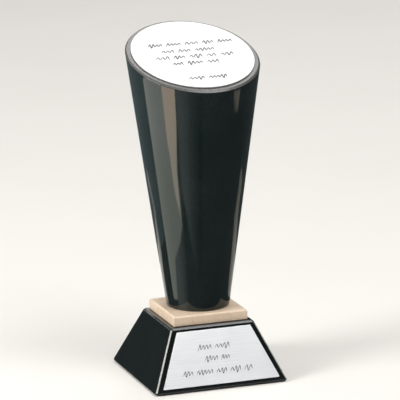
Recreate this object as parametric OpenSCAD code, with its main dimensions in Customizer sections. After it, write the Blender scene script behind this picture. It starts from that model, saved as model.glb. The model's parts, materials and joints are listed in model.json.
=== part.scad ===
// Column trophy: a tapered column of polished dark stone with a slanted top, a pale stone slab
// and a truncated pyramid base, clamped together by one tie rod from below. Two engraved plates
// are stuck to it. Origin at the middle of the footprint, +Z up, front towards -Y. Millimetres.

/* [Base] */
// Width of the base at its foot
base_w = 100; // [80:1:130]
// Width of the base at the upper end of its sloping faces
base_top_w = 64; // [58:0.1:76]
// Height of the base
base_h = 42.8; // [32:0.1:60]
// Height of the upright land round the base's foot
base_land = 1.4; // [1:0.1:5]
// Polished chamfer round the base's top
base_chamfer = 1.1; // [0.4:0.1:1.5]
// Width of the polished flat along the base's corner edges
corner_flat = 1.3; // [0.4:0.1:3]
// Eased arris round the base's underside and round the recess's mouth
base_arris = 0.4; // [0.2:0.1:0.9]

/* [Slab] */
// Width of the pale slab
slab_w = 56.4; // [50:0.2:58]
// Thickness of the pale slab
slab_t = 7.4; // [4:0.1:14]
// Chamfer round the slab's top
slab_chamfer = 1.1; // [0.4:0.1:2]
// Eased arris on the slab's other edges
slab_arris = 0.2; // [0.1:0.1:1.5]

/* [Column] */
// Diameter of the column's foot
column_foot_d = 46; // [38:0.5:55]
// Length of the column along its axis
column_len = 183; // [130:1:240]
// Angle of the column's wall from upright, in degrees
column_taper = 7.95; // [3:0.05:10]
// Tilt of the cut top towards the front, in degrees
top_tilt = 20; // [5:1:32]
// Depth of the polished bevel round the cut top
rim_bevel = 1.1; // [0.4:0.1:2]
// Chamfer round the column's foot
foot_chamfer = 0.8; // [0.3:0.1:2]

/* [Plates] */
// Gap from the column's wall to the edge of the top plate
top_plate_margin = 4.4; // [3:0.1:10]
// Thickness of the top plate
top_plate_t = 0.7; // [0.4:0.1:2]
// Gap from the corner edges of the base's front to the sides of the base plate
base_plate_side = 4.4; // [2:0.1:8]
// Gap from the lower end of the base's sloping front to the base plate
base_plate_low = 2; // [1:0.1:6]
// Gap from the upper end of the base's sloping front to the base plate
base_plate_high = 2; // [1:0.1:6]
// Thickness of the base plate
base_plate_t = 0.7; // [0.4:0.1:2]
// Corner radius of the base plate
base_plate_corner = 0.6; // [0.3:0.1:3]
// Thickness of the double-sided tape under each plate
tape_t = 0.4; // [0.2:0.1:1]
// How far the tape stays inside its plate's edge
tape_inset = 1.5; // [0.5:0.1:4]

/* [Tie rod and fasteners] */
// Diameter over the rod's thread, a quarter inch
rod_d = 6.3; // [4.9:0.1:7.3]
// Pitch of the thread, twenty to the inch
rod_pitch = 1.27; // [0.8:0.01:1.5]
// Length of the rod in the column
rod_grip = 36; // [20:1:60]
// Radial gap between the thread and the bores that it fills
rod_clearance = 0.05; // [0.02:0.01:0.15]
// Diameter of the holes that the rod passes through
rod_hole_d = 8; // [7.5:0.1:9]
// Diameter of the blind hole in the column
anchor_hole_d = 9.5; // [8.5:0.1:12]
// Diameter of the nut recess under the base
recess_d = 25.4; // [22:0.2:30]
// Depth of the nut recess
recess_depth = 18; // [17:0.5:22]
// Outer diameter of the flat washer
washer_d = 18.6; // [14:0.1:20]
// Thickness of the flat washer
washer_t = 1.6; // [1:0.1:2]
// Outer diameter of the lock washer
lock_washer_d = 12.4; // [10:0.1:14]
// Thickness of the lock washer
lock_washer_t = 1.6; // [1.2:0.1:2]
// Width of the split in the lock washer
lock_washer_split = 1; // [0.6:0.1:1.6]
// Width of the nut across its flats
nut_af = 11.1; // [9:0.1:13]
// Height of the nut
nut_h = 5.6; // [4:0.1:7]
// Thread that stands out below the nut
rod_end = 1.6; // [0.5:0.1:2]

/* [Bonds and feet] */
// Thickness of the adhesive between two stones
bond_t = 0.2; // [0.1:0.05:0.8]
// How far the adhesive stays inside the smaller stone's edge
bond_inset = 0.2; // [0.1:0.1:4]
// Diameter of the clear hole in the adhesive, round the rod
bond_hole_d = 11.2; // [9:0.1:14]
// Thickness of the rubber feet
foot_t = 0.8; // [0.6:0.1:4]
// Diameter of the rubber feet
foot_d = 14; // [8:0.5:20]
// Distance from the base's sides to the middle of each foot
foot_inset = 12; // [10.5:0.5:16]

/* [Hidden] */
$fn = 96;

stone_dark = [0.09, 0.13, 0.13];
stone_cream = [0.87, 0.78, 0.66];
plate_silver = [0.90, 0.91, 0.93];
zinc = [0.72, 0.73, 0.72];
adhesive = [0.85, 0.83, 0.74];
tape_foam = [0.75, 0.75, 0.72];
rubber = [0.06, 0.06, 0.06];

// heights of the stack, from the surface that it stands on
base_z = foot_t;
base_top_z = base_z + base_h;
slab_z = base_top_z + bond_t;
slab_top_z = slab_z + slab_t;
column_z = slab_top_z + bond_t;
cut_z = column_z + column_len;

// heights of the fasteners, from the recess's roof down, and of the rod
washer_z = base_z + recess_depth - washer_t;
lock_washer_z = washer_z - lock_washer_t;
nut_z = lock_washer_z - nut_h;
rod_z = nut_z - rod_end;
rod_top_z = column_z + rod_grip;
anchor_hole_depth = rod_grip + 1; // the hole runs a little past the rod's tip
bore_d = rod_d + 2 * rod_clearance;

// ends of the base's sloping faces, as [distance from the axis, height], with their length and slope
face_low = [base_w / 2, base_z + base_land];
face_high = [base_top_w / 2, base_top_z - base_chamfer];
face_len = norm(face_high - face_low);
face_slope = atan2(face_high.y - face_low.y, face_low.x - face_high.x);
// angle of a sloping face's corner edges from the line up its middle
face_taper = atan2(face_low.x - face_high.x, face_len);

over = 1; // how far a cutting solid runs past the face that it cuts
bevel_cone = 45; // half angle of the cone that bevels the column's rim

// radius of the column's wall at a height
function wall_r(z) = column_foot_d / 2 + (z - column_z) * tan(column_taper);

// points of a half profile and then their mirror images, as one outline about the Z axis
function both_sides(points) =
    concat(points, [for (i = [len(points) - 1:-1:0]) [-points[i].x, points[i].y]]);

// unit vector square to the side from a to b, on the outside of a counter-clockwise outline
function outward(a, b) = [(b - a).y, -(b - a).x] / norm(b - a);

// a counter-clockwise outline grown by a radius all round, with round corners
module grown(points, radius) {
    ends = [for (i = [0:len(points) - 1]) [points[i], points[(i + 1) % len(points)]]];
    polygon([for (e = ends) for (p = e) p + radius * outward(e[0], e[1])]);
    for (p = points) translate(p) circle(radius);
}

// an outline about the Z axis, carried along Y and along X, where the two meet
module crossed(outline) {
    intersection() {
        rotate([90, 0, 0]) linear_extrude(2 * base_w, center = true) polygon(outline);
        rotate([90, 0, 90]) linear_extrude(2 * base_w, center = true) polygon(outline);
    }
}

// a square block from its half profile, with a flat of this width along its corner edges
module block(side, flat) {
    diagonal = [for (p = side) [sqrt(2) * p.x - flat / 2, p.y]];
    intersection() {
        crossed(both_sides(side));
        rotate([0, 0, 45]) crossed(both_sides(diagonal));
    }
}

// a turned ring with its outer arrises eased, standing on z = 0
module ring(outer_d, inner_d, height, arris) {
    rotate_extrude()
    polygon([
        [inner_d / 2, 0],
        [outer_d / 2 - arris, 0],
        [outer_d / 2, arris],
        [outer_d / 2, height - arris],
        [outer_d / 2 - arris, height],
        [inner_d / 2, height]
    ]);
}

// a cutter about z = 0 that eases the mouth of a hole at 45 degrees
module mouth(hole_d, ease) {
    radius = hole_d / 2 + ease;
    rotate_extrude() polygon([[0, -radius], [radius, 0], [0, radius]]);
}

module base() {
    side = [
        [base_w / 2 - base_arris, base_z],
        [base_w / 2, base_z + base_arris],
        face_low,
        face_high,
        [base_top_w / 2 - base_chamfer, base_top_z]
    ];
    color(stone_dark)
    difference() {
        block(side, corner_flat);
        translate([0, 0, base_z - over]) cylinder(h = base_h + 2 * over, d = rod_hole_d);
        translate([0, 0, base_z - over]) cylinder(h = recess_depth + over, d = recess_d);
        translate([0, 0, base_z]) mouth(recess_d, base_arris);
    }
}

module slab() {
    side = [
        [slab_w / 2 - slab_arris, slab_z],
        [slab_w / 2, slab_z + slab_arris],
        [slab_w / 2, slab_top_z - slab_chamfer],
        [slab_w / 2 - slab_chamfer, slab_top_z]
    ];
    color(stone_cream)
    difference() {
        block(side, sqrt(2) * slab_arris);
        translate([0, 0, slab_z - over]) cylinder(h = slab_t + 2 * over, d = rod_hole_d);
    }
}

// adhesive between the base and the slab, with a clear hole for the rod
module slab_bond() {
    width = min(slab_w - 2 * slab_arris, base_top_w - 2 * base_chamfer) - 2 * bond_inset;
    color(adhesive)
    translate([0, 0, base_top_z])
    linear_extrude(bond_t)
    difference() {
        square(width, center = true);
        circle(d = bond_hole_d);
    }
}

// adhesive between the slab and the column
module column_bond() {
    color(adhesive)
    translate([0, 0, slab_top_z])
    linear_extrude(bond_t)
    difference() {
        circle(d = column_foot_d - 2 * foot_chamfer - 2 * bond_inset);
        circle(d = bond_hole_d);
    }
}

// puts its children on the plane of the cut top: +X to the right, +Y up the slope, +Z out of it
module on_cut() {
    translate([0, 0, cut_z]) rotate([top_tilt, 0, 0]) children();
}

// the space between two distances from the plane of the cut top
module cut_layer(low, high) {
    reach = 6 * wall_r(cut_z);
    on_cut() translate([-reach / 2, -reach / 2, low]) cube([reach, reach, high - low]);
}

// the column before its top is cut, with its wall moved in by inset
module tapered_blank(inset, chamfer) {
    top = cut_z + 2 * wall_r(cut_z) * tan(top_tilt);
    rotate_extrude()
    polygon([
        [0, column_z],
        [wall_r(column_z) - inset - chamfer, column_z],
        [wall_r(column_z + chamfer) - inset, column_z + chamfer],
        [wall_r(top) - inset, top],
        [0, top]
    ]);
}

// A plane that leans from square to a cone's axis cuts an ellipse whose eccentricity is
// sin(lean) / cos(half angle). So a blunt cone whose axis has the right lean shares with the
// column's wall the ellipse that lies rim_bevel below the cut top, and bevels the rim evenly.
module rim_cone() {
    lean = asin(sin(top_tilt) / cos(column_taper) * cos(bevel_cone));
    drop = rim_bevel / cos(top_tilt);
    radius = wall_r(cut_z - drop);
    // ends of the shared ellipse, along the slope
    back = radius / (cos(top_tilt) - tan(column_taper) * sin(top_tilt)) - drop * sin(top_tilt);
    front = radius / (cos(top_tilt) + tan(column_taper) * sin(top_tilt)) + drop * sin(top_tilt);
    apex_h = (back + front) / (tan(bevel_cone + lean) + tan(bevel_cone - lean));
    apex_y = apex_h * tan(bevel_cone + lean) - front;
    reach = 2 * (column_len + apex_h);
    on_cut()
    translate([0, apex_y, apex_h - rim_bevel])
    rotate([-lean, 0, 0])
    translate([0, 0, -reach])
    cylinder(h = reach, r1 = reach * tan(bevel_cone), r2 = 0);
}

module column() {
    color(stone_dark)
    difference() {
        intersection() {
            tapered_blank(0, foot_chamfer);
            rim_cone();
        }
        cut_layer(0, column_len);
        translate([0, 0, column_z - over])
            cylinder(h = anchor_hole_depth + over, d = anchor_hole_d);
    }
}

// the threaded rod: its thread is a row of ridges, turned as one profile
module tie_rod() {
    crest = rod_d / 2;
    root = crest - 0.61 * rod_pitch;
    tip = root - 0.4;
    ridges = floor((rod_top_z - rod_z) / rod_pitch) - 1;
    first = (rod_top_z - rod_z - ridges * rod_pitch) / 2;
    ridge = [[root, 0.05], [crest, 0.42], [crest, 0.58], [root, 0.95]];
    thread = [
        for (i = [0:ridges - 1])
        for (p = ridge)
        [p.x, rod_z + first + (i + p.y) * rod_pitch]
    ];
    color(zinc)
    rotate_extrude()
    polygon(concat([[0, rod_z], [tip, rod_z]], thread, [[tip, rod_top_z], [0, rod_top_z]]));
}

// the cured epoxy that fills the column's hole round and above the rod
module rod_epoxy() {
    color(adhesive)
    translate([0, 0, column_z])
    difference() {
        cylinder(h = anchor_hole_depth, d = anchor_hole_d);
        translate([0, 0, -over]) cylinder(h = rod_grip + over, d = bore_d);
    }
}

module flat_washer() {
    color(zinc)
    translate([0, 0, washer_z])
    ring(washer_d, rod_d + 0.8, washer_t, 0.25);
}

// the spring washer as it is when pressed flat, with its slanting split
module lock_washer() {
    color(zinc)
    translate([0, 0, lock_washer_z])
    difference() {
        ring(lock_washer_d, rod_d + 0.2, lock_washer_t, 0.2);
        translate([lock_washer_d / 2, 0, lock_washer_t / 2])
            rotate([20, 0, 0])
            cube([lock_washer_d, lock_washer_split, 3 * lock_washer_t], center = true);
    }
}

module hex_nut() {
    across_corners = nut_af / cos(30);
    corner_cut = (across_corners - nut_af) / 2;
    color(zinc)
    translate([0, 0, nut_z])
    difference() {
        intersection() {
            cylinder(h = nut_h, d = across_corners, $fn = 6);
            ring(across_corners, bore_d, nut_h, corner_cut);
        }
        for (z = [0, nut_h]) translate([0, 0, z]) mouth(bore_d, 0.5);
    }
}

module top_plate() {
    color(plate_silver)
    intersection() {
        tapered_blank(top_plate_margin, 0);
        cut_layer(tape_t, tape_t + top_plate_t);
    }
}

module top_plate_tape() {
    color(tape_foam)
    intersection() {
        tapered_blank(top_plate_margin + tape_inset, 0);
        cut_layer(0, tape_t);
    }
}

// puts its children on the base's sloping front: +X to the right, +Y up the slope, +Z out of it
module on_front() {
    translate([0, -face_low.x, face_low.y]) rotate([face_slope, 0, 0]) children();
}

// the sloping front's outline, moved in by the plate's margins and by inset
function plate_outline(inset) = let (
    low = base_plate_low + inset,
    high = face_len - base_plate_high - inset,
    side = (base_plate_side + inset) / cos(face_taper),
    low_x = base_w / 2 - low * tan(face_taper) - side,
    high_x = base_w / 2 - high * tan(face_taper) - side
) [[-low_x, low], [low_x, low], [high_x, high], [-high_x, high]];

module base_plate() {
    color(plate_silver)
    on_front()
    translate([0, 0, tape_t])
    linear_extrude(base_plate_t)
    grown(plate_outline(base_plate_corner), base_plate_corner);
}

module base_plate_tape() {
    color(tape_foam)
    on_front()
    linear_extrude(tape_t)
    grown(plate_outline(tape_inset + base_plate_corner), base_plate_corner);
}

// one rubber foot: side is -1 at the left or 1 at the right, and end -1 at the front or 1 at the rear
module foot(side, end) {
    place = base_w / 2 - foot_inset;
    color(rubber)
    translate([side * place, end * place, 0])
    ring(foot_d, 0, foot_t, 0.2);
}

base();
slab();
column();
slab_bond();
column_bond();
tie_rod();
rod_epoxy();
flat_washer();
lock_washer();
hex_nut();
top_plate();
top_plate_tape();
base_plate();
base_plate_tape();
foot(-1, -1);  // front_left_foot
foot(1, -1);  // front_right_foot
foot(-1, 1);  // rear_left_foot
foot(1, 1);  // rear_right_foot
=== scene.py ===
"""Looks of the column trophy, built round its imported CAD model. Lengths are in metres, +Z is up and the front
faces -Y."""

import json
import math
import random

import bmesh
import bpy
from mathutils import Matrix, Vector


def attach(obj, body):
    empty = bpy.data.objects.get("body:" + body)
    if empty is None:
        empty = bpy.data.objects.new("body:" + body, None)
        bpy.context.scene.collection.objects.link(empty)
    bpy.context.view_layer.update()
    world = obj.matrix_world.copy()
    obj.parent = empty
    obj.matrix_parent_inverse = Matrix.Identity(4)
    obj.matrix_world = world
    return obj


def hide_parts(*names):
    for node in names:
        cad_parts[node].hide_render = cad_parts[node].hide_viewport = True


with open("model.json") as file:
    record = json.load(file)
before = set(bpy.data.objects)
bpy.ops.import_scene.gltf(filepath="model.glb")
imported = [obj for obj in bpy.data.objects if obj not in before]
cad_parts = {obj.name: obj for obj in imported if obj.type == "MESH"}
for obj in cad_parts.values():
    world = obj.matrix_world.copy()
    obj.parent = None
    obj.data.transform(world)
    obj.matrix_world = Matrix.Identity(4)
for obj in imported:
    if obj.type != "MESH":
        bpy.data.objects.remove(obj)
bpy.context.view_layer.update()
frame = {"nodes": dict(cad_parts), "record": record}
MM = 0.001


# ---------------------------------------------------------------- node helpers

def node(tree, kind, inputs=(), **settings):
    """A new node. Inputs maps a socket's name or number to a value, or to the output that feeds it."""
    made = tree.nodes.new(kind)
    for name, value in settings.items():
        setattr(made, name, value)
    for name, value in dict(inputs).items():
        socket = made.inputs[name]
        if isinstance(value, bpy.types.NodeSocket):
            tree.links.new(value, socket)
        else:
            socket.default_value = value
    return made


def maths(tree, operation, *values, clamp=False):
    """The result of a Math node on one to three values or outputs."""
    made = node(tree, "ShaderNodeMath", dict(enumerate(values)), operation=operation, use_clamp=clamp)
    return made.outputs[0]


def remap(tree, value, low, high, to_low=0.0, to_high=1.0):
    """A value carried smoothly from the range low to high onto to_low to to_high."""
    inputs = {"Value": value, "From Min": low, "From Max": high, "To Min": to_low, "To Max": to_high}
    made = node(tree, "ShaderNodeMapRange", inputs, interpolation_type="SMOOTHSTEP")
    return made.outputs["Result"]


def between(tree, mask, where_none, where_full):
    """A value that goes smoothly from one number where a mask is 0 to another where it is 1."""
    return remap(tree, mask, 0.0, 1.0, where_none, where_full)


def part_of(tree, mask, share):
    """A mask scaled to this share of itself."""
    return maths(tree, "MULTIPLY", mask, share)


def roughened(tree, rough, mask, amount):
    """A roughness raised by this amount where a mask is 1."""
    return maths(tree, "ADD", rough, maths(tree, "MULTIPLY", mask, amount), clamp=True)


def blend(tree, share, first, second):
    """Two colours mixed by share."""
    made = node(tree, "ShaderNodeMix", data_type="RGBA")
    for label, value in (("Factor_Float", share), ("A_Color", first), ("B_Color", second)):
        socket = next(s for s in made.inputs if s.identifier == label)
        if isinstance(value, bpy.types.NodeSocket):
            tree.links.new(value, socket)
        else:
            socket.default_value = (*value, 1.0)
    return next(s for s in made.outputs if s.identifier == "Result_Color")


def noise(tree, place, scale, detail=4.0, roughness=0.5, distortion=0.0):
    """A noise texture's value, about 0.5 on average."""
    inputs = {"Vector": place, "Scale": scale, "Detail": detail}
    inputs.update({"Roughness": roughness, "Distortion": distortion})
    return node(tree, "ShaderNodeTexNoise", inputs).outputs["Fac"]


def stretched(tree, place, factors, turn=(0.0, 0.0, 0.0)):
    """The place turned and then scaled along each axis, so that a texture there is drawn out."""
    turned = node(tree, "ShaderNodeMapping", {"Vector": place, "Rotation": turn})
    scaled = node(tree, "ShaderNodeMapping", {"Vector": turned.outputs[0], "Scale": factors})
    return scaled.outputs[0]


def place_of(tree):
    """Object coordinates, which are the model's own in metres."""
    return node(tree, "ShaderNodeTexCoord").outputs["Object"]


def bump(tree, height, distance):
    """A normal from a height. A height of 1 stands this many metres proud."""
    return node(tree, "ShaderNodeBump", {"Height": height, "Distance": distance}).outputs["Normal"]


# ---------------------------------------------------------------- shared effects

def effect(name, inputs, outputs):
    """A new node group with float and vector inputs and float outputs. Returns the group, what its start node
    gives and what its end node takes."""
    group = bpy.data.node_groups.new(name, "ShaderNodeTree")
    for label, default in inputs.items():
        kind = "NodeSocketVector" if default is None else "NodeSocketFloat"
        socket = group.interface.new_socket(label, in_out="INPUT", socket_type=kind)
        if default is not None:
            socket.default_value = default
    for label in outputs:
        group.interface.new_socket(label, in_out="OUTPUT", socket_type="NodeSocketFloat")
    return group, group.nodes.new("NodeGroupInput").outputs, group.nodes.new("NodeGroupOutput").inputs


def use(tree, group, **inputs):
    """The outputs of an effect placed in a material."""
    made = tree.nodes.new("ShaderNodeGroup")
    made.node_tree = group
    for name, value in inputs.items():
        socket = made.inputs[name.capitalize()]
        if isinstance(value, bpy.types.NodeSocket):
            tree.links.new(value, socket)
        else:
            socket.default_value = value
    return made.outputs


def clouding_effect():
    """Soft warped clouds, as in a polished stone."""
    furthest_push = (30 * MM, 30 * MM, 30 * MM)
    group, given, result = effect("clouding", {"Place": None, "Scale": 30.0, "Contrast": 0.2}, ["Mask"])
    warp_inputs = {"Vector": given["Place"], "Scale": given["Scale"], "Detail": 3.0}
    warp = node(group, "ShaderNodeTexNoise", warp_inputs).outputs["Color"]
    push = node(group, "ShaderNodeVectorMath", {0: warp, 1: furthest_push}, operation="MULTIPLY")
    warped = node(group, "ShaderNodeVectorMath", {0: given["Place"], 1: push.outputs[0]}, operation="ADD")
    clouds = noise(group, warped.outputs[0], given["Scale"], detail=6.0, roughness=0.6)
    low = maths(group, "SUBTRACT", 0.5, given["Contrast"])
    high = maths(group, "ADD", 0.5, given["Contrast"])
    group.links.new(remap(group, clouds, low, high), result["Mask"])
    return group


def fleck_effect():
    """Small separate grains, which take up a share of the cells."""
    group, given, result = effect("flecks", {"Place": None, "Scale": 900.0, "Share": 0.2}, ["Mask"])
    cells = node(group, "ShaderNodeTexVoronoi", {"Vector": given["Place"], "Scale": given["Scale"]})
    lot = node(group, "ShaderNodeSeparateColor", {0: cells.outputs["Color"]}).outputs["Red"]
    chosen = maths(group, "LESS_THAN", lot, given["Share"])
    body = remap(group, cells.outputs["Distance"], 0.55, 0.2)
    group.links.new(maths(group, "MULTIPLY", chosen, body), result["Mask"])
    return group


def arris_effect():
    """Where a surface is within a radius of an edge, broken up along it as a ground arris is."""
    hardly_bent = 0.995
    well_bent = 0.93
    group, given, result = effect("arris", {"Place": None, "Radius": 0.001, "Breakup": 0.5}, ["Mask"])
    true_normal = node(group, "ShaderNodeNewGeometry").outputs["Normal"]
    soft_normal = node(group, "ShaderNodeBevel", {"Radius": given["Radius"]}, samples=8).outputs["Normal"]
    agree = node(group, "ShaderNodeVectorMath", {0: true_normal, 1: soft_normal}, operation="DOT_PRODUCT")
    near = remap(group, agree.outputs["Value"], hardly_bent, well_bent)
    grain = remap(group, noise(group, given["Place"], 900.0, detail=3.0, roughness=0.7), 0.3, 0.7)
    kept = maths(group, "SUBTRACT", 1.0, maths(group, "MULTIPLY", grain, given["Breakup"]))
    group.links.new(maths(group, "MULTIPLY", near, kept, clamp=True), result["Mask"])
    return group


def ground_flat_effect():
    """The narrow flats between the polished faces: what faces upwards by more than the least and less than
    the most."""
    fade = 0.03
    group, given, result = effect("ground flats", {"Place": None, "Least": 0.46, "Most": 0.88}, ["Mask"])
    facing = node(group, "ShaderNodeTexCoord").outputs["Normal"]
    upward = node(group, "ShaderNodeSeparateXYZ", {0: facing}).outputs["Z"]
    above = remap(group, upward, given["Least"], maths(group, "ADD", given["Least"], fade))
    below = remap(group, upward, maths(group, "ADD", given["Most"], fade), given["Most"])
    grit = noise(group, given["Place"], 700.0, detail=4.0, roughness=0.7)
    worn = remap(group, grit, 0.25, 0.6, to_low=0.55, to_high=1.0)
    both = maths(group, "MULTIPLY", above, below)
    group.links.new(maths(group, "MULTIPLY", both, worn, clamp=True), result["Mask"])
    return group


def scratch_effect():
    """Fine hairlines in two directions, as from wiping with a cloth."""
    half_width = 0.012
    wipes = [((0.3, 0.2, 0.5), (1.0, 40.0, 1.0)), ((-0.5, 0.4, -0.7), (40.0, 1.0, 1.0))]
    group, given, result = effect("wiping hairlines", {"Place": None, "Scale": 60.0, "Share": 0.1}, ["Mask"])
    level = maths(group, "ADD", 0.5, given["Share"])
    lines = []
    for turn, factors in wipes:
        wiped = stretched(group, given["Place"], factors, turn)
        drawn = noise(group, wiped, given["Scale"], detail=2.0, roughness=0.5, distortion=0.2)
        away = maths(group, "ABSOLUTE", maths(group, "SUBTRACT", drawn, level))
        lines.append(remap(group, away, half_width, 0.0))
    group.links.new(maths(group, "MAXIMUM", *lines), result["Mask"])
    return group


def dust_effect():
    """A thin uneven film on what faces up."""
    group, given, result = effect("dust", {"Place": None, "Amount": 0.2}, ["Mask"])
    normal = node(group, "ShaderNodeNewGeometry").outputs["Normal"]
    upward = node(group, "ShaderNodeSeparateXYZ", {0: normal}).outputs["Z"]
    film = remap(group, noise(group, given["Place"], 120.0, detail=6.0, roughness=0.65), 0.35, 0.75)
    facing = remap(group, upward, 0.3, 1.0)
    settled = maths(group, "MULTIPLY", film, facing)
    group.links.new(maths(group, "MULTIPLY", settled, given["Amount"]), result["Mask"])
    return group


def brush_effect():
    """Long brush lines along X, fine ones over broad ones: their height, and where they stand high."""
    group, given, result = effect("brush lines", {"Place": None, "Scale": 60.0}, ["Height", "Mask"])
    fine_place = stretched(group, given["Place"], (1.0, 90.0, 90.0))
    broad_place = stretched(group, given["Place"], (0.5, 18.0, 18.0))
    fine = noise(group, fine_place, given["Scale"], detail=3.0, roughness=0.6)
    broad = noise(group, broad_place, given["Scale"], detail=3.0, roughness=0.6)
    height = maths(group, "ADD", part_of(group, fine, 0.6), part_of(group, broad, 0.4))
    group.links.new(height, result["Height"])
    group.links.new(remap(group, height, 0.38, 0.62), result["Mask"])
    return group


CLOUDING = clouding_effect()
FLECKS = fleck_effect()
ARRIS = arris_effect()
FLATS = ground_flat_effect()
HAIRLINES = scratch_effect()
DUST = dust_effect()
BRUSHING = brush_effect()


# ---------------------------------------------------------------- materials

def material(name):
    """A new material, its tree and its surface shader."""
    made = bpy.data.materials.new(name)
    made.use_nodes = True
    tree = made.node_tree
    return made, tree, tree.nodes["Principled BSDF"]


def finish_surface(tree, shader, **links):
    """Feeds the shader's sockets from outputs, or sets them."""
    for name, value in links.items():
        socket = shader.inputs[name.replace("_", " ")]
        if isinstance(value, bpy.types.NodeSocket):
            tree.links.new(value, socket)
        else:
            socket.default_value = value


def scaled_tone(colour, factor):
    """A colour made lighter or darker by a factor."""
    return tuple(factor * channel for channel in colour)


def dark_stone(name, painted_shade_factor, flats_upward, flat_tone, flat_roughness, hip_tone=None):
    """Polished green-black stone with faint clouds and grains. The narrow ground flats have a tone of their
    own, and those down the corners may have another. flats_upward is the least and the most that a flat faces
    upwards."""
    # painted_shade_factor scales the stone's whole body colour down as painted shade; at 1.0 no shade is
    # painted.
    deep_green = scaled_tone((0.0055, 0.0102, 0.0098), painted_shade_factor)
    pale_green = scaled_tone((0.0108, 0.0165, 0.0160), painted_shade_factor)
    grain_green = (0.026, 0.036, 0.034)
    dust_grey = (0.45, 0.43, 0.40)
    hips_upward = (0.48, 0.56)
    hip_roughness = 0.3
    made, tree, shader = material(name)
    place = place_of(tree)
    clouds = use(tree, CLOUDING, place=place, scale=22.0, contrast=0.22)["Mask"]
    grains = use(tree, FLECKS, place=place, scale=1400.0, share=0.16)["Mask"]
    arris = use(tree, ARRIS, place=place, radius=0.5 * MM, breakup=0.45)["Mask"]
    flats = use(tree, FLATS, place=place, least=flats_upward[0], most=flats_upward[1])["Mask"]
    lines = use(tree, HAIRLINES, place=place, scale=70.0, share=0.03)["Mask"]
    dust = use(tree, DUST, place=place, amount=0.30)["Mask"]
    ground = maths(tree, "MAXIMUM", flats, part_of(tree, arris, 0.5))
    grinding = noise(tree, stretched(tree, place, (1.0, 14.0, 14.0)), 260.0, detail=3.0, roughness=0.6)
    ground_tone = blend(tree, grinding, scaled_tone(flat_tone, 0.7), scaled_tone(flat_tone, 1.3))
    added_roughness = part_of(tree, ground, flat_roughness)
    if hip_tone:
        hips = use(tree, FLATS, place=place, least=hips_upward[0], most=hips_upward[1])["Mask"]
        ground_tone = blend(tree, hips, ground_tone, hip_tone)
        added_roughness = maths(tree, "MAXIMUM", added_roughness, part_of(tree, hips, hip_roughness))
    colour = blend(tree, clouds, deep_green, pale_green)
    colour = blend(tree, part_of(tree, grains, 0.2), colour, grain_green)
    colour = blend(tree, ground, colour, ground_tone)
    colour = blend(tree, part_of(tree, dust, 0.06), colour, dust_grey)
    rough = between(tree, clouds, 0.045, 0.075)
    rough = roughened(tree, rough, lines, 0.04)
    rough = roughened(tree, rough, dust, 0.08)
    rough = maths(tree, "ADD", rough, added_roughness, clamp=True)
    wave = noise(tree, place, 18.0, detail=2.0, roughness=0.4)
    normal = bump(tree, wave, 0.03 * MM)
    finish_surface(tree, shader, Base_Color=colour, Roughness=rough, Normal=normal)
    return made


def cream_stone():
    """Honed cream stone: warm clouds, fine veins, pores and small rust-brown grains."""
    cream = (0.680, 0.520, 0.370)
    pale_cream = (0.775, 0.630, 0.480)
    cloud_tan = (0.62, 0.455, 0.315)
    vein_brown = (0.50, 0.33, 0.20)
    grain_brown = (0.42, 0.28, 0.17)
    bruised_edge = (0.86, 0.78, 0.68)
    half_vein = 0.020
    made, tree, shader = material("honed cream stone")
    place = place_of(tree)
    clouds = use(tree, CLOUDING, place=place, scale=60.0, contrast=0.25)["Mask"]
    fine_clouds = use(tree, CLOUDING, place=place, scale=260.0, contrast=0.20)["Mask"]
    grains = use(tree, FLECKS, place=place, scale=1100.0, share=0.12)["Mask"]
    pores = use(tree, FLECKS, place=place, scale=650.0, share=0.05)["Mask"]
    arris = use(tree, ARRIS, place=place, radius=0.5 * MM, breakup=0.6)["Mask"]
    vein_level = noise(tree, place, 28.0, detail=5.0, roughness=0.55, distortion=1.4)
    off_vein = maths(tree, "ABSOLUTE", maths(tree, "SUBTRACT", vein_level, 0.5))
    veins = remap(tree, off_vein, half_vein, 0.0)
    colour = blend(tree, clouds, cream, pale_cream)
    colour = blend(tree, part_of(tree, fine_clouds, 0.35), colour, cloud_tan)
    colour = blend(tree, part_of(tree, veins, 0.30), colour, vein_brown)
    colour = blend(tree, part_of(tree, grains, 0.35), colour, grain_brown)
    colour = blend(tree, part_of(tree, arris, 0.45), colour, bruised_edge)
    rough = roughened(tree, between(tree, fine_clouds, 0.34, 0.48), pores, 0.25)
    hollows = part_of(tree, pores, -1.0)
    normal = bump(tree, hollows, 0.08 * MM)
    finish_surface(tree, shader, Base_Color=colour, Roughness=rough, Normal=normal, Specular_IOR_Level=0.45)
    return made


def plate_metal(name, tint, roughness, brushing_depth, metal):
    """A plate's face with brush lines along X, faint smudges and a clean cut edge."""
    smudge_grey = (0.70, 0.70, 0.72)
    cut_edge = (0.95, 0.95, 0.96)
    made, tree, shader = material(name)
    place = place_of(tree)
    brushing = use(tree, BRUSHING, place=place, scale=55.0)
    smudges = use(tree, CLOUDING, place=place, scale=38.0, contrast=0.18)["Mask"]
    arris = use(tree, ARRIS, place=place, radius=0.25 * MM, breakup=0.2)["Mask"]
    lines = use(tree, HAIRLINES, place=place, scale=45.0, share=0.05)["Mask"]
    colour = blend(tree, brushing["Mask"], scaled_tone(tint, 0.90), tint)
    colour = blend(tree, part_of(tree, smudges, 0.06), colour, smudge_grey)
    colour = blend(tree, part_of(tree, arris, 0.5), colour, cut_edge)
    rough = between(tree, brushing["Mask"], roughness + 0.05, roughness - 0.05)
    rough = roughened(tree, rough, smudges, 0.04)
    rough = roughened(tree, rough, lines, 0.06)
    normal = bump(tree, brushing["Height"], brushing_depth)
    finish_surface(tree, shader, Base_Color=colour, Roughness=rough, Normal=normal, Metallic=metal)
    return made


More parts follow.
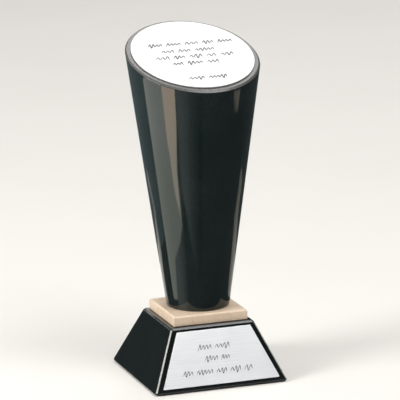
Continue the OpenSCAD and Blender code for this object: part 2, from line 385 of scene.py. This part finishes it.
def zinc_steel():
    """Bright zinc plating: faint yellow and blue patches, tool marks and rubbed edges."""
    yellowish = (0.56, 0.57, 0.55)
    bluish = (0.66, 0.66, 0.68)
    rubbed = (0.82, 0.82, 0.82)
    made, tree, shader = material("zinc plated steel")
    place = place_of(tree)
    patches = use(tree, CLOUDING, place=place, scale=260.0, contrast=0.2)["Mask"]
    lines = use(tree, HAIRLINES, place=place, scale=400.0, share=0.04)["Mask"]
    arris = use(tree, ARRIS, place=place, radius=0.3 * MM, breakup=0.5)["Mask"]
    colour = blend(tree, patches, yellowish, bluish)
    colour = blend(tree, part_of(tree, arris, 0.5), colour, rubbed)
    rough = roughened(tree, between(tree, patches, 0.28, 0.42), lines, 0.2)
    normal = bump(tree, noise(tree, place, 1800.0, detail=3.0), 0.02 * MM)
    finish_surface(tree, shader, Base_Color=colour, Roughness=rough, Normal=normal, Metallic=1.0)
    return made


def cured_adhesive():
    """Cured stone epoxy, buff with milky swirls and small bubbles."""
    buff = (0.66, 0.53, 0.37)
    milky = (0.78, 0.68, 0.53)
    made, tree, shader = material("cured adhesive")
    place = place_of(tree)
    swirls = use(tree, CLOUDING, place=place, scale=140.0, contrast=0.25)["Mask"]
    bubbles = use(tree, FLECKS, place=place, scale=1500.0, share=0.10)["Mask"]
    colour = blend(tree, swirls, buff, milky)
    rough = between(tree, swirls, 0.18, 0.34)
    normal = bump(tree, bubbles, 0.06 * MM)
    finish_surface(tree, shader, Base_Color=colour, Roughness=rough, Normal=normal)
    return made


def foam_tape():
    """White foam tape with open cells, greyed here and there."""
    grey_foam = (0.46, 0.46, 0.44)
    white_foam = (0.62, 0.62, 0.60)
    made, tree, shader = material("foam tape")
    place = place_of(tree)
    cells = use(tree, FLECKS, place=place, scale=3200.0, share=0.6)["Mask"]
    tone = noise(tree, place, 300.0)
    colour = blend(tree, tone, grey_foam, white_foam)
    rough = remap(tree, tone, 0.3, 0.7, to_low=0.75, to_high=0.9)
    normal = bump(tree, cells, 0.08 * MM)
    finish_surface(tree, shader, Base_Color=colour, Roughness=rough, Normal=normal)
    return made


def rubber():
    """Black moulded rubber with a fine grain and patches of grey bloom."""
    black = (0.016, 0.016, 0.017)
    bloom_grey = (0.060, 0.058, 0.055)
    made, tree, shader = material("moulded rubber")
    place = place_of(tree)
    bloom = use(tree, CLOUDING, place=place, scale=180.0, contrast=0.22)["Mask"]
    grain = noise(tree, place, 2600.0, detail=3.0, roughness=0.6)
    colour = blend(tree, part_of(tree, bloom, 0.5), black, bloom_grey)
    rough = between(tree, bloom, 0.62, 0.85)
    normal = bump(tree, grain, 0.04 * MM)
    finish_surface(tree, shader, Base_Color=colour, Roughness=rough, Normal=normal)
    return made


def engraving_black():
    """Black fill of the engraved strokes, thinner here and there."""
    full_black = (0.010, 0.010, 0.012)
    thin_black = (0.055, 0.055, 0.065)
    made, tree, shader = material("engraving fill")
    place = place_of(tree)
    thin = use(tree, CLOUDING, place=place, scale=500.0, contrast=0.2)["Mask"]
    colour = blend(tree, thin, full_black, thin_black)
    rough = between(tree, thin, 0.45, 0.65)
    normal = bump(tree, noise(tree, place, 4000.0, detail=2.0), 0.02 * MM)
    finish_surface(tree, shader, Base_Color=colour, Roughness=rough, Normal=normal)
    return made


def pale_floor():
    """A plain pale floor that can be seen through from underneath."""
    sand = (0.74, 0.71, 0.67)
    pale_sand = (0.78, 0.75, 0.71)
    made, tree, shader = material("pale floor")
    tone = noise(tree, place_of(tree), 6.0, detail=3.0)
    colour = blend(tree, tone, sand, pale_sand)
    finish_surface(tree, shader, Base_Color=colour, Roughness=0.75, Specular_IOR_Level=0.2)
    clear = node(tree, "ShaderNodeBsdfTransparent")
    under = node(tree, "ShaderNodeNewGeometry").outputs["Backfacing"]
    both = node(tree, "ShaderNodeMixShader", {0: under, 1: shader.outputs[0], 2: clear.outputs[0]})
    tree.links.new(both.outputs[0], tree.nodes["Material Output"].inputs["Surface"])
    return made


MATERIALS = {
    # The base's copy of the stone has painted shade: its body colour is darkened to 0.6 of the column's.
    "dark_stone": dark_stone("polished dark stone", painted_shade_factor=0.6, flats_upward=(0.46, 0.88),
                             flat_tone=(0.024, 0.026, 0.026), flat_roughness=0.08,
                             hip_tone=(0.34, 0.33, 0.31)),
    "cream_stone": cream_stone(),
    "satin_plate": plate_metal("white satin plate", tint=(0.77, 0.77, 0.765), roughness=0.40,
                               brushing_depth=0.004 * MM, metal=0.15),
    "brushed_plate": plate_metal("brushed silver plate", tint=(0.97, 0.975, 0.985), roughness=0.40,
                                 brushing_depth=0.012 * MM, metal=1.0),
    "zinc_steel": zinc_steel(),
    "adhesive": cured_adhesive(),
    "foam_tape": foam_tape(),
    "rubber": rubber(),
    "engraving_fill": engraving_black(),
}
OWN_MATERIAL = {
    "column": dark_stone("polished dark stone with a ground top", painted_shade_factor=1.0, flats_upward=(0.60, 0.97),
                         flat_tone=(0.094, 0.092, 0.087), flat_roughness=0.24),
}
SLOT_OF = {row["node"]: row["material_slot"] for row in frame["record"]["subparts"]}


# ---------------------------------------------------------------- pieces

def add_piece(name, mesh, slot, own=None):
    """A new piece that rides on the one body, with a slot's material or its own."""
    made = bpy.data.objects.new(name, mesh)
    bpy.context.scene.collection.objects.link(made)
    made.data.materials.clear()
    made.data.materials.append(own or MATERIALS[slot])
    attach(made, "root")
    return made


def eased_piece(cad_name, radius):
    """The CAD node's shape with merged flat faces and its sharp edges rounded, standing for the node."""
    same_point = 0.001 * MM
    flat_within = math.radians(0.3)
    sharp_from = math.radians(18)
    work = bmesh.new()
    work.from_mesh(frame["nodes"][cad_name].data)
    bmesh.ops.remove_doubles(work, verts=work.verts, dist=same_point)
    bmesh.ops.dissolve_limit(work, angle_limit=flat_within, verts=work.verts, edges=work.edges)
    edges = [e for e in work.edges if e.is_manifold and e.calc_face_angle(0.0) > sharp_from]
    bmesh.ops.bevel(work, geom=edges, offset=radius, segments=3, profile=0.5,
                    affect="EDGES", clamp_overlap=True, loop_slide=True)
    for face in work.faces:
        face.smooth = True
    mesh = bpy.data.meshes.new(cad_name + "_eased")
    work.to_mesh(mesh)
    work.free()
    made = add_piece(cad_name + "_eased", mesh, SLOT_OF[cad_name], OWN_MATERIAL.get(cad_name))
    weighted = made.modifiers.new("face weighted normals", "WEIGHTED_NORMAL")
    weighted.keep_sharp = True
    weighted.weight = 90
    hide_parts(cad_name)
    return made


def carried_over(cad_name):
    """A CAD node that shows as it is, with its slot's material."""
    shown = frame["nodes"][cad_name]
    shown.data.materials.clear()
    shown.data.materials.append(MATERIALS[SLOT_OF[cad_name]])


# The radius that each eased piece's sharp edges are rounded to.
EASED = {
    "base": 0.18 * MM, "slab": 0.22 * MM, "column": 0.20 * MM, "top_plate": 0.12 * MM,
    "base_plate": 0.12 * MM, "flat_washer": 0.10 * MM, "hex_nut": 0.12 * MM,
}
for cad_name in sorted(frame["nodes"]):
    if cad_name in EASED:
        eased_piece(cad_name, EASED[cad_name])
    else:
        carried_over(cad_name)


# ---------------------------------------------------------------- engraving

def plate_frame(cad_name, outward):
    """A matrix from a plate's own plane to the model. Its origin is the middle of the face, with X to the
    right, Y up the plate and Z out of it."""
    skin = 0.05 * MM
    mesh = frame["nodes"][cad_name].data
    facing = [p for p in mesh.polygons if p.normal.dot(outward) > 0.5]
    normal = max(facing, key=lambda p: p.area).normal.copy()
    right = Vector((1.0, 0.0, 0.0))
    up = normal.cross(right).normalized()
    level = max(v.co.dot(normal) for v in mesh.vertices)
    heights = [v.co.dot(up) for v in mesh.vertices if v.co.dot(normal) > level - skin]
    middle = normal * level + up * (min(heights) + max(heights)) / 2
    return Matrix((
        (right[0], up[0], normal[0], middle[0]),
        (right[1], up[1], normal[1], middle[1]),
        (right[2], up[2], normal[2], middle[2]),
        (0.0, 0.0, 0.0, 1.0),
    ))


def pen_stroke(draw, start, length, height):
    """Points of one wavy pen stroke that stands for a word and holds no letter: a slanted wave whose crests
    are of uneven height."""
    slant = 0.25
    wave_length = 0.92 * height
    steps_per_wave = 14
    low_crests = (0.75, 1.05)
    high_crests = (1.4, 2.0)
    waves = max(2, round(length / wave_length))
    swell = [draw.uniform(*low_crests) for _ in range(waves + 1)]
    for i in draw.sample(range(waves + 1), max(1, waves // 3)):
        swell[i] = draw.uniform(*high_crests)
    steps = steps_per_wave * waves
    points = []
    for i in range(steps + 1):
        at = waves * i / steps
        near = min(int(at), waves - 1)
        tall = swell[near] + (swell[near + 1] - swell[near]) * (at - near)
        rise = -math.cos(2 * math.pi * at) * 0.5 * height * tall
        points.append(Vector((start[0] + length * i / steps + slant * rise, start[1] + rise)))
    return points


def ribbon(work, points, nib, to_model):
    """Adds a flat ribbon along the points, as wide as a slanted nib draws it and thinner at its two ends."""
    nib_angle = math.radians(40)
    nib_way = Vector((math.cos(nib_angle), math.sin(nib_angle)))
    thinnest = 0.45
    end_width = 0.35
    end_steps = 6
    lift = 0.015 * MM
    last = len(points) - 1
    sides = []
    for i, point in enumerate(points):
        way = (points[min(i + 1, last)] - points[max(i - 1, 0)]).normalized()
        across = Vector((-way.y, way.x))
        taper = min(1.0, end_width + min(i, last - i) / end_steps)
        half = 0.5 * nib * taper * (thinnest + (1 - thinnest) * abs(across.dot(nib_way)))
        pair = [point - half * across, point + half * across]
        sides.append([work.verts.new(to_model @ Vector((*side, lift))) for side in pair])
    for (a, b), (c, d) in zip(sides, sides[1:]):
        work.faces.new((a, c, d, b))


def engraved_lines(name, cad_name, outward, lines, height, nib, seed):
    """Rows of wavy strokes on a plate. Each line is its left end, right end and place up the plate, in mm."""
    gap = 0.9 * height
    least_room = 1.2 * height
    lengths_in_heights = (2.2, 4.6)
    draw = random.Random(seed)
    to_model = plate_frame(cad_name, outward)
    work = bmesh.new()
    for left, right, up in lines:
        x = left * MM
        while x < right * MM - least_room:
            length = min(draw.uniform(*lengths_in_heights) * height, right * MM - x)
            ribbon(work, pen_stroke(draw, (x, up * MM), length, height), nib, to_model)
            x += length + gap
    mesh = bpy.data.meshes.new(name)
    work.to_mesh(mesh)
    work.free()
    made = add_piece(name, mesh, "engraving_fill")
    return made


TOP_LINES = [(-29, 35, 14.9), (-22, 24, 5.2), (-29, 30, -3.5), (-19, 17, -12.4), (-14, 21, -33.7)]
BASE_LINES = [(-14, 13, 7.4), (-10, 9, -1.0), (-28, 27, -10.5)]
engraved_lines("top_engraving", "top_plate", outward=Vector((0, 0, 1)), lines=TOP_LINES,
               height=3.3 * MM, nib=1.10 * MM, seed=11)
engraved_lines("base_engraving", "base_plate", outward=Vector((0, -1, 0)), lines=BASE_LINES,
               height=2.8 * MM, nib=0.62 * MM, seed=5)


# ---------------------------------------------------------------- floor, cards, lights and camera

def add_sheet(name, corners, surface):
    """A flat sheet of the studio with these corners."""
    work = bmesh.new()
    work.faces.new([work.verts.new(corner) for corner in corners])
    mesh = bpy.data.meshes.new(name)
    work.to_mesh(mesh)
    work.free()
    mesh.materials.append(surface)
    made = bpy.data.objects.new(name, mesh)
    bpy.context.scene.collection.objects.link(made)
    return made


def mirrored_only(sheet):
    """Leaves a sheet to be seen in polished faces alone."""
    sheet.visible_camera = False
    sheet.visible_diffuse = False
    sheet.visible_shadow = False
    sheet.visible_transmission = False


def add_floor():
    """A pale floor that fills the view. Polished faces mirror only a strip of it, before the base and along
    its right side."""
    surface = pale_floor()
    reach = 20
    floor_corners = [(-reach, -reach, 0), (reach, -reach, 0), (reach, reach, 0), (-reach, reach, 0)]
    floor = add_sheet("floor", floor_corners, surface)
    floor.visible_glossy = False
    left, right, front, rear = -0.050, 0.075, -0.075, 0.060
    inner_right, inner_front = 0.052, -0.0502
    strip = [(left, front), (right, front), (right, rear),
             (inner_right, rear), (inner_right, inner_front), (left, inner_front)]
    mirrored_only(add_sheet("mirrored_floor", [(x, y, 0) for x, y in strip], surface))


def add_reflector(name, corners, radiance, faded, axis, span):
    """A glowing card that polished faces mirror. Its radiance turns to the faded one over a span of an
    axis."""
    made, tree, shader = material(name)
    along = node(tree, "ShaderNodeSeparateXYZ", {0: place_of(tree)}).outputs[axis]
    colour = blend(tree, remap(tree, along, *span), radiance, faded)
    glow = node(tree, "ShaderNodeEmission", {"Color": colour, "Strength": 1.0})
    tree.nodes.remove(shader)
    tree.links.new(glow.outputs[0], tree.nodes["Material Output"].inputs["Surface"])
    mirrored_only(add_sheet(name, corners, made))


def side_card(x, outline):
    """Corners of a card square to X, from its outline in Y and Z."""
    return [(x, y, z) for y, z in outline]


def slant_card(offset, outline):
    """Corners of an upright card half turned between X and Y, from its outline in Y and Z."""
    return [(y - offset, y, z) for y, z in outline]


def add_left_cards():
    """Cards on the column's left that give it its tall grey and tan bands, over a soft dim ground."""
    grey = [(-0.112, 0.21), (0.045, 0.21), (0.045, 0.0), (0.0, 0.0), (-0.016, 0.035), (-0.066, 0.038),
            (-0.092, 0.045), (-0.084, 0.095), (-0.098, 0.130)]
    warm = [(-0.112, 0.21), (-0.042, 0.21), (-0.042, 0.13), (-0.065, 0.075), (-0.084, 0.056),
            (-0.084, 0.095), (-0.098, 0.130)]
    low = [(-0.112, -0.03), (0.0, -0.03), (0.0, 0.21), (-0.112, 0.21)]
    add_reflector("grey_card", side_card(-0.135, grey), radiance=(1.80, 1.88, 1.62),
                  faded=(2.15, 2.22, 2.07), axis="Z", span=(0.09, 0.15))
    add_reflector("warm_card", side_card(-0.134, warm), radiance=(4.1, 3.7, 3.0),
                  faded=(5.0, 4.0, 3.15), axis="Z", span=(0.09, 0.15))
    add_reflector("low_soft_card", side_card(-0.136, low), radiance=(0.20, 0.23, 0.22),
                  faded=(0.66, 0.72, 0.70), axis="Y", span=(-0.112, -0.03))


def add_front_and_rear_cards():
    """A soft card at the front left that fades to nothing towards the middle, and a dim one at the rear
    left."""
    soft = [(-0.42, -0.26, -0.06), (-0.02, -0.26, -0.06), (-0.02, -0.26, 0.21), (-0.42, -0.26, 0.21)]
    dim = [(0.045, 0.055), (0.20, 0.055), (0.20, 0.25), (0.045, 0.25)]
    add_reflector("soft_card", soft, radiance=(0.60, 0.66, 0.64),
                  faded=(0.0, 0.0, 0.0), axis="X", span=(-0.30, -0.02))
    add_reflector("dim_card", slant_card(0.18, dim), radiance=(0.26, 0.33, 0.34),
                  faded=(0.10, 0.14, 0.15), axis="Y", span=(0.045, 0.16))


def add_streak_cards():
    """Narrow cards that give the column a thin streak of light down each side, and a short one high on its
    right. A long streak is given by its two edges, one from the top down and the other from the bottom up."""
    left_rear = [(0.017, 0.152), (0.020, 0.141), (0.019, 0.129), (0.019, 0.117), (0.022, 0.105),
                 (0.025, 0.094), (0.031, 0.082), (0.040, 0.069), (0.045, 0.053), (0.047, 0.042)]
    left_front = [(0.024, 0.044), (0.024, 0.055), (0.022, 0.070), (0.019, 0.082), (0.018, 0.093),
                  (0.017, 0.105), (0.015, 0.117), (0.015, 0.129), (0.016, 0.140)]
    right_front = [(0.014, 0.117), (0.002, 0.105), (-0.004, 0.089), (-0.008, 0.072), (0.005, 0.058),
                   (0.018, 0.042), (0.020, 0.027), (0.034, 0.011), (0.26, -0.016)]
    right_rear = [(0.257, 0.0), (0.104, 0.038), (0.071, 0.056), (0.040, 0.074), (0.037, 0.089),
                  (0.035, 0.105)]
    upper = [(-0.111, 0.158), (-0.068, 0.170), (-0.075, 0.150), (-0.100, 0.143)]
    add_reflector("left_streak", slant_card(0.06, left_rear + left_front), radiance=(1.10, 1.07, 0.98),
                  faded=(0.60, 0.60, 0.58), axis="Z", span=(0.08, 0.13))
    add_reflector("right_streak", side_card(0.135, right_front + right_rear), radiance=(0.66, 0.64, 0.56),
                  faded=(0.45, 0.44, 0.38), axis="Z", span=(0.04, 0.12))
    add_reflector("upper_streak", side_card(0.135, upper), radiance=(0.3, 0.27, 0.23),
                  faded=(1.1, 0.95, 0.80), axis="Z", span=(0.142, 0.158))


def add_softbox(name, place, size, radiance):
    """An area light of this size and brightness, turned towards the column's middle."""
    aim = Vector((0, 0, 0.12))
    light = bpy.data.lights.new(name, "AREA")
    light.shape = "RECTANGLE"
    light.size, light.size_y = size
    light.energy = radiance * math.pi * size[0] * size[1]
    lamp = bpy.data.objects.new(name, light)
    lamp.location = place
    lamp.rotation_euler = (aim - Vector(place)).to_track_quat("-Z", "Y").to_euler()
    lamp.visible_camera = False
    bpy.context.scene.collection.objects.link(lamp)


def add_world(colour, strength):
    """Even dim light from all round."""
    world = bpy.data.worlds.new("studio")
    world.use_nodes = True
    background = world.node_tree.nodes["Background"]
    background.inputs["Color"].default_value = (*colour, 1.0)
    background.inputs["Strength"].default_value = strength
    bpy.context.scene.world = world


def add_camera():
    """A long lens from the front left, a little above, level to within a degree."""
    turn = math.radians(19.215)
    rise = math.radians(13.178)
    roll = math.radians(-0.971)
    distance = 2.1536
    aim = Vector((0, 0, 0.12906))
    sideways = 0.0028
    ahead = Vector((math.sin(turn) * math.cos(rise), math.cos(turn) * math.cos(rise), -math.sin(rise)))
    level = ahead.cross(Vector((0, 0, 1))).normalized()
    top = level.cross(ahead)
    right = level * math.cos(roll) + top * math.sin(roll)
    up = top * math.cos(roll) - level * math.sin(roll)
    axes = Matrix((right, up, -ahead)).transposed()
    data = bpy.data.cameras.new("camera")
    data.lens = 267.5
    data.sensor_width = 36.0
    data.clip_start = 0.1
    data.clip_end = 100.0
    camera = bpy.data.objects.new("camera", data)
    camera.matrix_world = Matrix.Translation(aim - ahead * distance + right * sideways) @ axes.to_4x4()
    bpy.context.scene.collection.objects.link(camera)
    bpy.context.scene.camera = camera


add_floor()
add_left_cards()
add_front_and_rear_cards()
add_streak_cards()
add_softbox("front_top_softbox", place=(0.72, -1.53, 2.42), size=(1.8, 1.6), radiance=5.0)
add_softbox("left_softbox", place=(-1.71, -0.27, 0.98), size=(0.8, 0.8), radiance=15.0)
add_softbox("overhead_softbox", place=(0.0, 0.6, 4.0), size=(7.0, 7.0), radiance=0.9)
add_softbox("rear_top_softbox", place=(1.0, 1.7, 2.5), size=(1.6, 1.6), radiance=2.5)
add_world(colour=(0.85, 0.95, 1.0), strength=0.08)
add_camera()
bpy.context.scene.view_settings.view_transform = "Standard"
